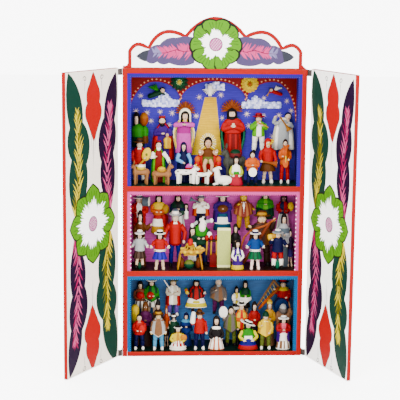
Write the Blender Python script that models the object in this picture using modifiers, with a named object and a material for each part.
"""Folk retablo: an open wooden cabinet of three tiers with a painted crest, two painted doors on
leather hinges, and moulded paste figures on its floors and back wall.

Units are metres and +Z is up. The front looks along -Y and +X is the viewer's right. The origin is
the centre of the cabinet's underside. Each object is one separate piece of the real thing."""
import bpy
import bmesh
from math import cos, pi, radians, sin
from mathutils import Matrix, Vector

# Cabinet
CABINET_W = 0.312
CABINET_D = 0.080
SIDE_T = 0.008
TOP_T = 0.008
BOTTOM_T = 0.008
SHELF_T = 0.009
BACK_T = 0.004
LOWER_TIER_H = 0.135
MIDDLE_TIER_H = 0.139
UPPER_TIER_H = 0.192
GAP = 0.0003

# Trim around each tier's opening
BORDER_W = 0.0068
BORDER_T = 0.002
BORDER_SET_BACK = 0.001

# Crest
CREST_H = 0.087
CREST_T = 0.005
CREST_SET_BACK = 0.002
CREST_FLARE_W = 0.009
CREST_FLARE_H = 0.008
CREST_FLARE_HOLLOW_OUT = 0.35
CREST_FLARE_HOLLOW_UP = 0.40
CREST_SPRING_H = 0.0287
CREST_OUTER_LOBE_H = 0.043
CREST_SIDE_LOBE_H = 0.064
CREST_OUTER_CUSP_H = 0.037
CREST_INNER_CUSP_H = 0.0565
CREST_OUTER_CUSP_X = 0.1135
CREST_INNER_CUSP_X = 0.051
OUTER_LOBE_STEPS = 7
SIDE_LOBE_STEPS = 8
CROWN_STEPS = 14

# Doors and their hinges, with the doors drawn as they stand open
DOOR_T = 0.007
DOOR_MEETING_GAP = 0.002
DOOR_FACE_GAP = 0.001
DOOR_FLOOR_GAP = 0.001
DOOR_OVERHANG = 0.0015
DOOR_EDGE_BEVEL = 0.0007
HINGE_OUT = 0.0038
HINGE_BACK = 0.0007
LEFT_DOOR_OPEN = radians(121.7)
RIGHT_DOOR_OPEN = radians(108.7)
STRAP_H = 0.011
STRAP_T = 0.0012
STRAP_LEAF = 0.014

# Rows in which the figures stand, counted from the front
ROW_START = 0.005
ROW_COUNT = 3
ROW_GAP = 0.001

# Curtain modelled on the upper tier's back wall
CURTAIN_T = 0.003
CURTAIN_CUSP_UP = 0.71
CURTAIN_ARCH_UP = 0.93
CURTAIN_LEFT_CUSP = -0.40
CURTAIN_RIGHT_CUSP = 0.31
CURTAIN_ARCH_STEPS = 9
ROSETTE_R = 0.0095
ROSETTE_T = 0.0025
ROSETTE_UP = 0.85
ROSETTE_FRONT_SHARE = 0.6
ROSETTE_SIDES = 10

SMALL_MERGE = 0.00005
SHARP_ANGLE = radians(40)

CABINET_H = BOTTOM_T + LOWER_TIER_H + SHELF_T + MIDDLE_TIER_H + SHELF_T + UPPER_TIER_H + TOP_T
INNER_W = CABINET_W - 2 * SIDE_T
FRONT_Y = -CABINET_D / 2
BACK_WALL_Y = CABINET_D / 2 - BACK_T
BOARD_D = BACK_WALL_Y - FRONT_Y
LOWER_FLOOR = BOTTOM_T
MIDDLE_FLOOR = LOWER_FLOOR + LOWER_TIER_H + SHELF_T
UPPER_FLOOR = MIDDLE_FLOOR + MIDDLE_TIER_H + SHELF_T
TIERS = {
    "lower": (LOWER_FLOOR, LOWER_TIER_H),
    "middle": (MIDDLE_FLOOR, MIDDLE_TIER_H),
    "upper": (UPPER_FLOOR, UPPER_TIER_H),
}
ROWS = {"front": 0, "centre": 1, "back": 2}

for old in list(bpy.data.objects):
    bpy.data.objects.remove(old, do_unlink=True)

retablo = bpy.data.collections.new("retablo")
cutters = bpy.data.collections.new("retablo_cutters")
bpy.context.scene.collection.children.link(retablo)
bpy.context.scene.collection.children.link(cutters)


def paint(name, colour, roughness=0.6):
    """One plain painted finish."""
    material = bpy.data.materials.new(name)
    material.use_nodes = True
    shader = material.node_tree.nodes["Principled BSDF"]
    shader.inputs["Base Color"].default_value = (*colour, 1.0)
    shader.inputs["Roughness"].default_value = roughness
    shader.inputs["Metallic"].default_value = 0.0
    return material


RED = (0.70, 0.03, 0.02)
CREAM = (0.86, 0.80, 0.72)
WHITE = (0.88, 0.86, 0.80)
BROWN = (0.22, 0.09, 0.04)
BLACK = (0.02, 0.02, 0.02)
BLUE = (0.05, 0.06, 0.50)
DARK_BLUE = (0.02, 0.03, 0.14)
STEEL_BLUE = (0.03, 0.18, 0.42)
PINK = (0.60, 0.12, 0.40)
PURPLE = (0.14, 0.04, 0.32)
GREEN = (0.05, 0.28, 0.06)
DARK_GREEN = (0.01, 0.08, 0.05)
YELLOW = (0.80, 0.55, 0.05)
ORANGE = (0.75, 0.22, 0.03)
GREY = (0.30, 0.32, 0.31)


def add_object(name, mesh, colour):
    """A mesh as a named object with a finish of its own, smooth except at its sharp edges."""
    piece = bpy.data.objects.new(name, mesh)
    retablo.objects.link(piece)
    mesh.materials.append(paint(name + "_paint", colour))
    mesh.shade_smooth()
    mesh.set_sharp_from_angle(angle=SHARP_ANGLE)
    return piece


def board(name, low, high, colour):
    """A rectangular board between two corners."""
    mesh = bpy.data.meshes.new(name)
    shape = bmesh.new()
    size = Vector(high) - Vector(low)
    bmesh.ops.create_cube(shape, size=1.0, matrix=Matrix.Diagonal((*size, 1.0)))
    shape.to_mesh(mesh)
    shape.free()
    piece = add_object(name, mesh, colour)
    piece.location = (Vector(low) + Vector(high)) / 2
    return piece


def flat_piece(name, outline, thickness, colour, upright=True):
    """A flat outline as a filled 2D curve with a thickness, upright in XZ or lying in XY."""
    curve = bpy.data.curves.new(name, "CURVE")
    curve.dimensions = "2D"
    curve.fill_mode = "BOTH"
    curve.extrude = thickness / 2
    spline = curve.splines.new("POLY")
    spline.points.add(len(outline) - 1)
    for point, (across, up) in zip(spline.points, outline):
        point.co = (across, up, 0.0, 1.0)
    spline.use_cyclic_u = True
    drawn = bpy.data.objects.new(name + "_outline", curve)
    bpy.context.scene.collection.objects.link(drawn)
    bpy.context.view_layer.update()
    seen = drawn.evaluated_get(bpy.context.evaluated_depsgraph_get())
    mesh = bpy.data.meshes.new_from_object(seen)
    bpy.data.objects.remove(drawn, do_unlink=True)
    bpy.data.curves.remove(curve)
    shape = bmesh.new()
    shape.from_mesh(mesh)
    bmesh.ops.remove_doubles(shape, verts=shape.verts, dist=SMALL_MERGE)
    if upright:
        bmesh.ops.rotate(shape, verts=shape.verts, matrix=Matrix.Rotation(pi / 2, 3, "X"))
    bmesh.ops.recalc_face_normals(shape, faces=shape.faces)
    shape.to_mesh(mesh)
    shape.free()
    mesh.materials.clear()
    mesh.name = name
    return add_object(name, mesh, colour)


def arc(start, peak_height, end, steps):
    """Points of a lobe that leaves start upwards, crowns at peak_height and meets end."""
    points = []
    centre = (start[0] + end[0]) / 2
    half = (end[0] - start[0]) / 2
    for step in range(1, steps):
        share = step / steps
        base = start[1] + (end[1] - start[1]) * share
        rise = peak_height - (start[1] + end[1]) / 2
        points.append((centre - half * cos(pi * share), base + rise * sin(pi * share)))
    return points


# Cabinet boards: two full-height sides, and the other boards fitted between them
for side, sign in (("left", -1), ("right", 1)):
    outer = sign * CABINET_W / 2
    inner = sign * INNER_W / 2
    board(
        "side_" + side,
        (min(outer, inner), FRONT_Y, 0.0),
        (max(outer, inner), BACK_WALL_Y - GAP, CABINET_H),
        RED,
    )

FITTED = (
    ("bottom_board", 0.0, BOTTOM_T),
    ("lower_shelf", MIDDLE_FLOOR - SHELF_T, MIDDLE_FLOOR),
    ("upper_shelf", UPPER_FLOOR - SHELF_T, UPPER_FLOOR),
    ("top_board", CABINET_H - TOP_T, CABINET_H),
)
for name, low, high in FITTED:
    board(
        name,
        (-INNER_W / 2 + GAP, FRONT_Y, low),
        (INNER_W / 2 - GAP, BACK_WALL_Y - GAP, high),
        RED,
    )
board("back_board", (-CABINET_W / 2, BACK_WALL_Y, 0.0), (CABINET_W / 2, CABINET_D / 2, CABINET_H), CREAM)


def border_strip(name, tier, colour):
    """The flat strip that lines both sides and the top of one tier's opening."""
    floor, height = TIERS[tier]
    out = INNER_W / 2 - GAP
    inside = out - BORDER_W
    low = floor + GAP
    high = floor + height - GAP
    outline = [
        (-out, low), (-inside, low), (-inside, high - BORDER_W), (inside, high - BORDER_W),
        (inside, low), (out, low), (out, high), (-out, high),
    ]
    strip = flat_piece(name, outline, BORDER_T, colour)
    strip.location.y = FRONT_Y + BORDER_SET_BACK + BORDER_T / 2


border_strip("upper_tier_border", "upper", BLUE)
border_strip("middle_tier_border", "middle", PINK)
border_strip("lower_tier_border", "lower", STEEL_BLUE)


def crest_outline():
    """Five lobes over a straight foot that flares to the cabinet's corners."""
    foot = CABINET_H + GAP
    edge = CABINET_W / 2
    shoulder = edge - CREST_FLARE_W
    outer_cusp = (CREST_OUTER_CUSP_X, foot + CREST_OUTER_CUSP_H)
    inner_cusp = (CREST_INNER_CUSP_X, foot + CREST_INNER_CUSP_H)
    spring = (shoulder, foot + CREST_SPRING_H)
    hollow_x = shoulder + CREST_FLARE_W * CREST_FLARE_HOLLOW_OUT
    hollow_z = foot + CREST_FLARE_H * CREST_FLARE_HOLLOW_UP
    right = [(edge, foot), (hollow_x, hollow_z), (shoulder, foot + CREST_FLARE_H), spring]
    right += arc(spring, foot + CREST_OUTER_LOBE_H, outer_cusp, OUTER_LOBE_STEPS)
    right.append(outer_cusp)
    right += arc(outer_cusp, foot + CREST_SIDE_LOBE_H, inner_cusp, SIDE_LOBE_STEPS)
    right.append(inner_cusp)
    crown = arc(inner_cusp, foot + CREST_H, (-inner_cusp[0], inner_cusp[1]), CROWN_STEPS)
    left = [(-across, up) for across, up in reversed(right)]
    return right + crown + left


crest = flat_piece("crest", crest_outline(), CREST_T, WHITE)
crest.location.y = FRONT_Y + CREST_SET_BACK + CREST_T / 2


def curtain_outline():
    """A cloth gathered up in three arches under the upper tier's ceiling."""
    floor, height = TIERS["upper"]
    half = INNER_W / 2
    edge = half - GAP
    ceiling = floor + height - GAP
    cusp_z = floor + CURTAIN_CUSP_UP * height
    arch_z = floor + CURTAIN_ARCH_UP * height
    cusps = [-edge, CURTAIN_LEFT_CUSP * half, CURTAIN_RIGHT_CUSP * half, edge]
    points = [(-edge, ceiling)]
    for start, end in zip(cusps[:-1], cusps[1:]):
        points.append((start, cusp_z))
        points += arc((start, cusp_z), arch_z, (end, cusp_z), CURTAIN_ARCH_STEPS)
    points.append((edge, cusp_z))
    points.append((edge, ceiling))
    return points


def rosette(across_share):
    """A round rosette over a curtain's cusp, half sunk in the cloth, placed as the curtain is."""
    floor, height = TIERS["upper"]
    shape = bmesh.new()
    bmesh.ops.create_cone(
        shape, cap_ends=True, segments=ROSETTE_SIDES, radius1=ROSETTE_R,
        radius2=ROSETTE_R * ROSETTE_FRONT_SHARE, depth=ROSETTE_T * 2,
        matrix=Matrix.Rotation(pi / 2, 4, "X"),
    )
    centre = Vector((across_share * INNER_W / 2, -CURTAIN_T / 2, floor + height * ROSETTE_UP))
    bmesh.ops.translate(shape, verts=shape.verts, vec=centre)
    return shape


def join_shapes(shapes, name):
    """Several shapes in one mesh, still overlapping."""
    joined = bmesh.new()
    for shape in shapes:
        loose = bpy.data.meshes.new(name)
        shape.to_mesh(loose)
        shape.free()
        joined.from_mesh(loose)
        bpy.data.meshes.remove(loose)
    mesh = bpy.data.meshes.new(name)
    joined.to_mesh(mesh)
    joined.free()
    return mesh


def fuse(piece, shapes):
    """Unites a placed piece with the shapes that it is modelled together with."""
    added = bpy.data.objects.new(piece.name + "_added", join_shapes(shapes, piece.name + "_added"))
    cutters.objects.link(added)
    added.location = piece.location
    added.hide_render = True
    added.display_type = "WIRE"
    union = piece.modifiers.new("Modelled together", "BOOLEAN")
    union.operation = "UNION"
    union.solver = "EXACT"
    union.use_self = True
    union.object = added


curtain = flat_piece("curtain", curtain_outline(), CURTAIN_T, RED)
curtain.location.y = BACK_WALL_Y - GAP - CURTAIN_T / 2
fuse(curtain, [rosette(CURTAIN_LEFT_CUSP), rosette(CURTAIN_RIGHT_CUSP)])


def door(side, sign, opened):
    """One door, turned open about its hinge line, which its parent empty holds."""
    length = CABINET_W / 2 - DOOR_MEETING_GAP / 2
    hinge = bpy.data.objects.new("hinge_" + side, None)
    retablo.objects.link(hinge)
    hinge.location = (sign * (CABINET_W / 2 + HINGE_OUT), FRONT_Y + HINGE_BACK, 0.0)
    hinge.rotation_euler = (0.0, 0.0, sign * opened)
    low = (0.0, -DOOR_T, DOOR_FLOOR_GAP)
    high = (length, 0.0, CABINET_H + DOOR_OVERHANG)
    panel = board(side + "_door", low, high, CREAM)
    panel.parent = hinge
    panel.location = (
        -sign * (HINGE_OUT + length / 2),
        -HINGE_BACK - DOOR_FACE_GAP - DOOR_T / 2,
        (low[2] + high[2]) / 2,
    )
    bevel = panel.modifiers.new("Softened edges", "BEVEL")
    bevel.width = DOOR_EDGE_BEVEL
    bevel.segments = 1


door("left", -1, LEFT_DOOR_OPEN)
door("right", 1, RIGHT_DOOR_OPEN)


def hinge_strap(side, sign, level, low):
    """A leather strap from the cabinet's side, round to the hinge line."""
    face = CABINET_W / 2 + GAP
    pin_x = CABINET_W / 2 + HINGE_OUT
    pin_y = FRONT_Y + HINGE_BACK
    tip_x = pin_x + DOOR_FACE_GAP + HINGE_BACK + STRAP_T
    outline = [
        (face, FRONT_Y + STRAP_LEAF),
        (face, pin_y + STRAP_T),
        (pin_x - STRAP_T, pin_y - STRAP_T / 2),
        (tip_x, pin_y - STRAP_T / 2),
        (tip_x, pin_y + STRAP_T / 2),
        (pin_x - STRAP_T / 2, pin_y + STRAP_T / 2),
        (face + STRAP_T, pin_y + STRAP_T * 2),
        (face + STRAP_T, FRONT_Y + STRAP_LEAF),
    ]
    outline = [(sign * across, depth) for across, depth in outline]
    strap = flat_piece(f"hinge_strap_{level}_{side}", outline, STRAP_H, BROWN, upright=False)
    strap.location.z = low + STRAP_H / 2


for side, sign in (("left", -1), ("right", 1)):
    hinge_strap(side, sign, "lower", DOOR_FLOOR_GAP)
    hinge_strap(side, sign, "upper", CABINET_H - STRAP_H)


class Figure:
    """A moulded figure that fills a share of its tier: across from wall to wall, up from the floor.

    Its shapes are given in shares of its own box. Across runs from -0.5 to 0.5, depth from -0.5 at
    the front to 0.5 at the back, and up from 0 to 1."""

    def __init__(self, name, tier, row, across, up, colour):
        floor, height = TIERS[tier]
        row_depth = (BOARD_D - ROW_START) / ROW_COUNT
        start_y = FRONT_Y + ROW_START + ROWS[row] * row_depth
        end_y = start_y + row_depth - (GAP if row == "back" else ROW_GAP)
        self.name = name
        self.colour = colour
        self.width = (across[1] - across[0]) * INNER_W / 2
        self.depth = end_y - start_y
        self.height = (up[1] - up[0]) * height - GAP
        self.place = Vector((
            (across[0] + across[1]) * INNER_W / 4,
            (start_y + end_y) / 2,
            floor + up[0] * height + GAP,
        ))
        self.shapes = []

    def point(self, across, depth, up):
        return Vector((across * self.width, depth * self.depth, up * self.height))

    def keep(self, shape):
        self.shapes.append(shape)
        return self

    def body(self, low, high, foot, top, at=(0.0, 0.0), sides=6, lean=(0.0, 0.0)):
        """An upright tapering form with an oval section. Foot and top are half sizes."""
        shape = bmesh.new()
        bmesh.ops.create_cone(
            shape, cap_ends=True, segments=sides, radius1=1.0, radius2=1.0, depth=1.0,
            matrix=Matrix.Rotation(pi / sides, 4, "Z"),
        )
        reach_x = max(vert.co.x for vert in shape.verts)
        reach_y = max(vert.co.y for vert in shape.verts)
        for vert in shape.verts:
            under = vert.co.z < 0
            half = foot if under else top
            up = low if under else high
            across = at[0] + vert.co.x / reach_x * half[0] + (0.0 if under else lean[0])
            depth = at[1] + vert.co.y / reach_y * half[1] + (0.0 if under else lean[1])
            vert.co = self.point(across, depth, up)
        return self.keep(shape)

    def limb(self, start, end, start_r, end_r, sides=4):
        """A round tapering limb between two points, with radii as shares of the height."""
        start = self.point(*start)
        end = self.point(*end)
        along = end - start
        turn = along.to_track_quat("Z", "Y").to_matrix().to_4x4()
        shape = bmesh.new()
        bmesh.ops.create_cone(
            shape, cap_ends=True, segments=sides, radius1=start_r * self.height,
            radius2=end_r * self.height, depth=along.length,
            matrix=Matrix.Translation((start + end) / 2) @ turn,
        )
        return self.keep(shape)

    def ball(self, centre, radius, stretch=(1.0, 1.0, 1.0)):
        """A round form, with its radius as a share of the height."""
        shape = bmesh.new()
        size = Matrix.Diagonal((*stretch, 1.0))
        bmesh.ops.create_uvsphere(
            shape, u_segments=6, v_segments=4, radius=radius * self.height,
            matrix=Matrix.Translation(self.point(*centre)) @ size,
        )
        return self.keep(shape)

    def slab(self, low, high):
        """A plain block between two corners."""
        shape = bmesh.new()
        near = self.point(*low)
        far = self.point(*high)
        size = Matrix.Diagonal((*(far - near), 1.0))
        bmesh.ops.create_cube(shape, size=1.0, matrix=Matrix.Translation((near + far) / 2) @ size)
        return self.keep(shape)

    def disc(self, centre, radius, thickness, rays=10):
        """A flat round form that faces the viewer, with shares of the height."""
        shape = bmesh.new()
        bmesh.ops.create_cone(
            shape, cap_ends=True, segments=rays, radius1=radius * self.height,
            radius2=radius * self.height, depth=thickness * self.height,
            matrix=Matrix.Translation(self.point(*centre)) @ Matrix.Rotation(pi / 2, 4, "X"),
        )
        return self.keep(shape)

    def head(self, across=0.0, depth=0.0, top=1.0, size=0.095, hat=None):
        """A head under a brimmed hat, a crown or bare hair, its top at the given height."""
        hat_rise = {"brim": 0.7, "crown": 0.8, None: 0.0}[hat] * size
        centre_up = top - size - hat_rise
        self.ball((across, depth, centre_up), size, (0.9, 0.95, 1.0))
        radius = size * self.height
        if hat:
            rim = {"brim": 1.75, "crown": 0.85}[hat] * radius
            cap = {"brim": 0.65, "crown": 1.0}[hat] * radius
            rim_half = (rim / self.width, rim / self.depth)
            cap_half = (cap / self.width, cap / self.depth)
            self.body(centre_up + size * 0.3, top, rim_half, cap_half, (across, depth))
        return self

    def arms(self, left, right, shoulder_up=0.72):
        """Two arms from the shoulders to the given hands."""
        for sign, hand in ((-1, left), (1, right)):
            self.limb((sign * 0.12, 0.0, shoulder_up), hand, 0.055, 0.035)
        return self

    def legs(self, top=0.42):
        """Two legs that stand apart, on shoes wider than the knees."""
        for sign in (-1, 1):
            self.body(0.0, top, (0.10, 0.22), (0.09, 0.16), (sign * 0.22, -0.04), 4, (-sign * 0.08, 0.04))
        return self

    def build(self):
        """The first shape becomes the object and the others are united with it."""
        mesh = bpy.data.meshes.new(self.name)
        first, *others = self.shapes
        first.to_mesh(mesh)
        first.free()
        piece = add_object(self.name, mesh, self.colour)
        piece.location = self.place
        fuse(piece, others)


def standing_woman(name, tier, row, across, up, colour, hat="brim", hands=None, legs=True):
    """A woman in a short bell skirt over stockinged legs, with a shawl on her shoulders."""
    hem = 0.24 if legs else 0.0
    woman = Figure(name, tier, row, across, up, colour)
    woman.body(hem, 0.50, (0.40, 0.40), (0.20, 0.24), sides=8)
    woman.body(0.44, 0.84, (0.40, 0.34), (0.12, 0.18), (0.0, 0.02))
    woman.head(hat=hat, depth=-0.02)
    left, right = hands or ((-0.46, -0.10, 0.60), (0.46, -0.10, 0.60))
    woman.arms(left, right)
    if legs:
        woman.legs(top=hem + 0.04)
    return woman


def standing_man(name, tier, row, across, up, colour, hat="brim", hands=None, coat=0.36):
    """A man in trousers and a wide jacket or poncho."""
    man = Figure(name, tier, row, across, up, colour)
    man.body(0.36, 0.84, (coat, 0.34), (0.13, 0.20), (0.0, 0.02))
    man.legs()
    man.head(hat=hat, depth=-0.02)
    left, right = hands or ((-0.44, -0.10, 0.50), (0.44, -0.10, 0.50))
    man.arms(left, right)
    return man


def robed(name, tier, row, across, up, colour, head_at=0.0, head_top=1.0, hat=None):
    """A figure in a long robe under a cloak that spreads at its hem and meets the wall behind."""
    saint = Figure(name, tier, row, across, up, colour)
    saint.body(0.0, 0.84, (0.42, 0.36), (0.18, 0.28), (0.0, 0.14), 8)
    saint.body(0.0, 0.70, (0.24, 0.30), (0.20, 0.26), (0.0, -0.18))
    saint.head(across=head_at, depth=0.0, top=head_top, size=0.088, hat=hat)
    return saint


def seated_woman(name, tier, row, across, up, colour, hat=None):
    """A woman who sits on the ground with her skirts spread round her."""
    woman = Figure(name, tier, row, across, up, colour)
    woman.body(0.0, 0.34, (0.48, 0.46), (0.30, 0.32), sides=8)
    woman.body(0.28, 0.76, (0.34, 0.34), (0.14, 0.20), (0.0, 0.04))
    woman.head(hat=hat, size=0.13)
    woman.arms((-0.23, -0.35, 0.36), (0.21, -0.32, 0.33), shoulder_up=0.66)
    return woman


def beast(name, tier, row, across, up, colour, head_side=1, neck_up=1.0, back_up=0.70, load=False):
    """A four-legged animal seen from its side, its head towards one end."""
    animal = Figure(name, tier, row, across, up, colour)
    head_x = head_side * 0.38
    rump = (-head_side * 0.34, 0.0, back_up - 0.16)
    chest = (head_side * 0.20, 0.0, back_up - 0.14)
    animal.limb(rump, chest, 0.17, 0.18, 6)
    for x in (-0.36 * head_side, -0.22 * head_side, 0.06 * head_side, 0.20 * head_side):
        side = 0.16 if x * head_side in (-0.36, 0.20) else -0.16
        animal.limb((x, side, back_up - 0.20), (x, side, 0.0), 0.07, 0.05)
    animal.limb((head_side * 0.18, 0.0, back_up - 0.12), (head_x, 0.0, neck_up - 0.16), 0.12, 0.09)
    poll = (head_x - head_side * 0.06, 0.0, neck_up - 0.12)
    muzzle = (head_side * 0.49, -0.04, neck_up - 0.26)
    animal.limb(poll, muzzle, 0.11, 0.06)
    if load:
        animal.body(back_up - 0.16, back_up + 0.14, (0.20, 0.40), (0.12, 0.28), (-0.06 * head_side, 0.0))
    return animal


def winged(name, tier, row, across, up, colour, head_side):
    """A small flying angel that lies along the wall."""
    angel = Figure(name, tier, row, across, up, colour)
    angel.limb((-head_side * 0.46, 0.28, 0.22), (head_side * 0.16, 0.20, 0.60), 0.13, 0.20, 6)
    angel.ball((head_side * 0.24, 0.16, 0.70), 0.19)
    angel.limb((head_side * 0.10, 0.14, 0.55), (head_side * 0.46, 0.0, 0.40), 0.08, 0.06)
    angel.body(0.44, 1.0, (0.06, 0.09), (0.25, 0.13), (-head_side * 0.10, 0.37))
    return angel


# Upper tier: the nativity, with the holy family in the centre
dove = Figure("dove", "upper", "back", (-0.13, 0.07), (0.755, 0.90), WHITE)
dove.ball((0.0, 0.24, 0.50), 0.24, (0.8, 0.7, 1.3))
dove.body(0.34, 0.86, (0.10, 0.10), (0.46, 0.16), (0.0, 0.33))
dove.ball((0.0, 0.18, 0.20), 0.13)
dove.build()

winged("angel_left", "upper", "back", (-0.76, -0.55), (0.73, 0.88), DARK_GREEN, 1).build()
angel_right = winged("angel_right", "upper", "back", (0.61, 0.86), (0.76, 0.87), RED, -1)
angel_right.limb((-0.36, 0.10, 0.66), (-0.49, 0.0, 0.30), 0.05, 0.12)
angel_right.build()

king = robed("purple_king", "upper", "back", (-0.72, -0.475), (0.19, 0.60), PURPLE, hat="crown")
king.arms((0.02, -0.40, 0.56), (0.30, -0.40, 0.56), shoulder_up=0.70)
king.body(0.44, 0.72, (0.10, 0.14), (0.06, 0.10), (0.20, -0.34))
king.build()

mary = robed("mary", "upper", "back", (-0.465, -0.20), (0.255, 0.70), CREAM, 0.02, 0.93)
mary.disc((0.08, 0.34, 0.86), 0.14, 0.03)
mary.arms((0.0, -0.42, 0.50), (0.06, -0.42, 0.50), shoulder_up=0.66)
mary.build()

joseph = robed("joseph", "upper", "back", (0.09, 0.395), (0.24, 0.745), RED, -0.06, 0.94)
joseph.disc((-0.06, 0.34, 0.87), 0.125, 0.03)
joseph.arms((-0.02, -0.42, 0.58), (0.04, -0.42, 0.60), shoulder_up=0.70)
joseph.build()

flute = standing_man(
    "flute_player", "upper", "back", (0.43, 0.67), (0.26, 0.625), GREEN,
    hands=((-0.20, -0.30, 0.74), (0.20, -0.30, 0.66)),
)
flute.limb((-0.20, -0.34, 0.82), (0.34, -0.34, 0.62), 0.022, 0.030)
flute.slab((-0.12, 0.0, 0.40), (0.12, 0.5, 0.70))
flute.build()

horn = robed("horn_player", "upper", "back", (0.70, 0.975), (0.285, 0.635), GREY, 0.20)
horn.arms((-0.24, -0.30, 0.62), (0.10, -0.34, 0.52), shoulder_up=0.72)
horn.limb((0.16, -0.26, 0.80), (-0.14, -0.36, 0.26), 0.03, 0.10, 6)
horn.build()

mandolin = standing_man(
    "mandolin_player", "upper", "centre", (-0.965, -0.735), (0.0, 0.405), RED,
    hands=((0.02, -0.36, 0.44), (0.24, -0.36, 0.58)),
)
mandolin.ball((0.28, -0.28, 0.62), 0.13, (0.8, 0.35, 1.15))
mandolin.limb((0.18, -0.30, 0.50), (-0.16, -0.34, 0.30), 0.03, 0.02)
mandolin.build()

green_king = robed("green_king", "upper", "centre", (-0.73, -0.495), (0.0, 0.39), GREEN, hat="crown")
green_king.arms((-0.06, -0.42, 0.56), (0.38, -0.34, 0.50), shoulder_up=0.70)
green_king.build()

kneeling = robed("kneeling_woman", "upper", "centre", (-0.455, -0.235), (0.0, 0.375), DARK_BLUE, -0.02)
kneeling.ball((0.30, -0.26, 0.40), 0.12)
kneeling.arms((0.24, -0.36, 0.46), (0.34, -0.30, 0.46), shoulder_up=0.70)
kneeling.build()

child = Figure("child_in_cradle", "upper", "centre", (-0.225, 0.11), (0.0, 0.455), ORANGE)
child.body(0.0, 0.30, (0.22, 0.40), (0.30, 0.44))
child.body(0.28, 0.72, (0.30, 0.44), (0.47, 0.30), (0.0, 0.14))
child.disc((0.0, 0.22, 0.84), 0.155, 0.03, 12)
child.body(0.40, 0.74, (0.20, 0.26), (0.13, 0.20), (0.0, -0.16))
child.head(depth=-0.10, top=0.94, size=0.085)
for sign in (-1, 1):
    child.limb((sign * 0.12, -0.20, 0.50), (sign * 0.10, -0.44, 0.30), 0.055, 0.04)
    child.limb((sign * 0.18, -0.14, 0.68), (sign * 0.34, -0.32, 0.56), 0.045, 0.03)
child.build()

scarf = standing_woman(
    "red_scarf_woman", "upper", "centre", (0.53, 0.755), (0.0, 0.41), RED,
    hands=((-0.30, -0.36, 0.52), (0.34, -0.34, 0.48)),
)
scarf.limb((-0.36, -0.36, 0.50), (0.26, -0.34, 0.42), 0.05, 0.09)
scarf.build()

tuba = standing_man(
    "tuba_player", "upper", "centre", (0.765, 0.925), (0.0, 0.405), ORANGE, hat=None,
    hands=((-0.30, -0.36, 0.62), (0.30, -0.36, 0.58)),
)
tuba.limb((0.0, -0.30, 0.42), (0.02, -0.30, 0.84), 0.07, 0.15, 8)
tuba.build()

beast("llama_left", "upper", "front", (-0.96, -0.73), (0.0, 0.235), BROWN, -1, 0.80, 0.78, True).build()
beast("llama_right", "upper", "front", (-0.72, -0.485), (0.0, 0.225), BROWN, 1, 1.0, 0.68, True).build()
beast("white_bull", "upper", "front", (-0.48, -0.16), (0.0, 0.195), WHITE, 1, 1.0, 0.80).build()

lamb = Figure("lying_lamb", "upper", "front", (0.0, 0.17), (0.0, 0.18), WHITE)
lamb.limb((-0.10, 0.0, 0.24), (0.40, 0.0, 0.22), 0.24, 0.20, 6)
lamb.body(0.0, 0.26, (0.46, 0.36), (0.34, 0.24), (0.04, 0.0))
lamb.limb((-0.22, 0.0, 0.22), (-0.28, 0.0, 0.78), 0.18, 0.13)
lamb.limb((-0.22, 0.0, 0.84), (-0.44, -0.10, 0.66), 0.14, 0.09)
lamb.build()

seated_woman("seated_woman", "upper", "front", (0.175, 0.35), (0.0, 0.265), GREEN).build()
orange = standing_man(
    "orange_jacket_man", "upper", "front", (0.355, 0.545), (0.0, 0.31), ORANGE, hat=None, coat=0.46,
    hands=((-0.14, -0.42, 0.40), (0.20, -0.42, 0.42)),
)
orange.disc((0.02, -0.44, 0.36), 0.12, 0.05, 8)
orange.build()

# Middle tier: a market day
cape = robed("orange_cape_man", "middle", "back", (-0.255, -0.02), (0.48, 0.885), ORANGE, -0.02)
cape.limb((0.0, -0.12, 0.80), (-0.34, -0.30, 0.88), 0.05, 0.11, 6)
cape.arms((-0.14, -0.38, 0.72), (0.16, -0.36, 0.66), shoulder_up=0.70)
cape.build()

purple = robed("purple_cape_woman", "middle", "back", (0.01, 0.25), (0.43, 0.91), PURPLE, 0.0, 1.0, "brim")
purple.arms((-0.06, -0.40, 0.52), (0.10, -0.40, 0.52), shoulder_up=0.70)
purple.build()

gold = robed("golden_jacket_man", "middle", "back", (0.26, 0.515), (0.43, 0.91), YELLOW)
gold.arms((-0.14, -0.40, 0.76), (0.30, -0.34, 0.60), shoulder_up=0.70)
gold.body(0.46, 0.82, (0.46, 0.16), (0.26, 0.16), (0.0, 0.30))
gold.build()

shawl = robed("green_shawl_woman", "middle", "back", (0.525, 0.755), (0.575, 0.91), GREEN, 0.0, 1.0, "brim")
shawl.arms((-0.20, -0.40, 0.44), (0.24, -0.40, 0.42), shoulder_up=0.66)
shawl.build()

standing_woman(
    "brown_dress_woman", "middle", "centre", (-0.96, -0.71), (0.0, 0.72), BROWN, hat=None, legs=False,
    hands=((-0.30, -0.30, 0.48), (0.47, -0.20, 0.74)),
).build()
standing_man(
    "red_coat_man", "middle", "centre", (-0.595, -0.285), (0.0, 0.735), RED,
    hands=((-0.40, -0.10, 0.84), (0.40, -0.10, 0.50)),
).build()
standing_woman("grey_jacket_woman", "middle", "front", (-0.96, -0.75), (0.0, 0.50), GREY).build()
standing_woman("red_jacket_woman", "middle", "front", (-0.74, -0.50), (0.0, 0.50), RED).build()

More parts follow.
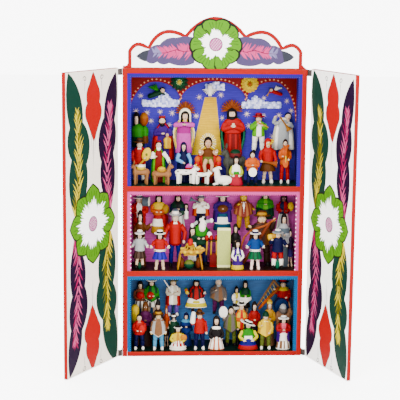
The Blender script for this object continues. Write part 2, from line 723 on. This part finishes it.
stall = Figure("bread_stall", "middle", "front", (-0.435, -0.07), (0.0, 0.40), YELLOW)
stall.slab((-0.40, -0.40, 0.44), (0.40, 0.40, 0.54))
for across in (-0.34, 0.34):
    for depth in (-0.28, 0.28):
        stall.limb((across, depth, 0.48), (across * 1.2, depth, 0.0), 0.05, 0.04)
for across in (-0.24, 0.12):
    stall.limb((across - 0.12, -0.30, 0.57), (across + 0.24, -0.12, 0.72), 0.08, 0.07)
stall.body(0.50, 0.84, (0.26, 0.30), (0.12, 0.16), (0.0, 0.16))
stall.ball((0.04, 0.06, 0.87), 0.12)
stall.build()

seated_woman("market_woman", "middle", "front", (0.215, 0.375), (0.0, 0.375), PURPLE).build()
standing_woman("blue_jacket_woman", "middle", "front", (0.385, 0.615), (0.0, 0.50), STEEL_BLUE).build()
trousers = standing_man(
    "red_trousers_man", "middle", "front", (0.635, 0.885), (0.0, 0.51), DARK_BLUE,
    hands=((-0.42, -0.20, 0.66), (0.46, -0.10, 0.60)),
)
trousers.ball((-0.30, -0.10, 0.80), 0.11)
trousers.build()

# Lower tier: a dance
robe = robed("red_robe_man", "lower", "back", (-0.55, -0.345), (0.355, 0.88), RED, 0.08, 1.0, "brim")
robe.arms((-0.16, -0.34, 0.72), (0.24, -0.34, 0.66), shoulder_up=0.72)
robe.build()
poncho = standing_woman(
    "striped_poncho_woman", "lower", "back", (-0.285, -0.025), (0.41, 0.85), RED, hat=None, legs=False,
    hands=((-0.44, -0.20, 0.72), (0.46, -0.20, 0.64)),
)
poncho.slab((-0.16, 0.0, 0.10), (0.16, 0.5, 0.70))
poncho.build()
coat = robed("grey_coat_man", "lower", "back", (0.005, 0.225), (0.38, 0.865), GREY, 0.04, 1.0, "brim")
coat.arms((-0.16, -0.40, 0.62), (0.28, -0.36, 0.42), shoulder_up=0.72)
coat.build()

standing_man("brown_poncho_man", "lower", "front", (-0.73, -0.535), (0.0, 0.525), BROWN).build()
seated_woman("striped_skirt_woman", "lower", "front", (-0.505, -0.29), (0.0, 0.315), YELLOW, "brim").build()
standing_man("red_shirt_man", "lower", "front", (-0.26, -0.05), (0.0, 0.525), RED).build()
seated_woman("black_shawl_woman", "lower", "front", (-0.045, 0.155), (0.0, 0.445), BLACK).build()
seated_woman("yellow_shawl_woman", "lower", "front", (0.31, 0.56), (0.0, 0.395), YELLOW, "brim").build()
standing_woman(
    "white_apron_woman", "lower", "front", (0.765, 0.945), (0.0, 0.445), WHITE, legs=False,
).build()
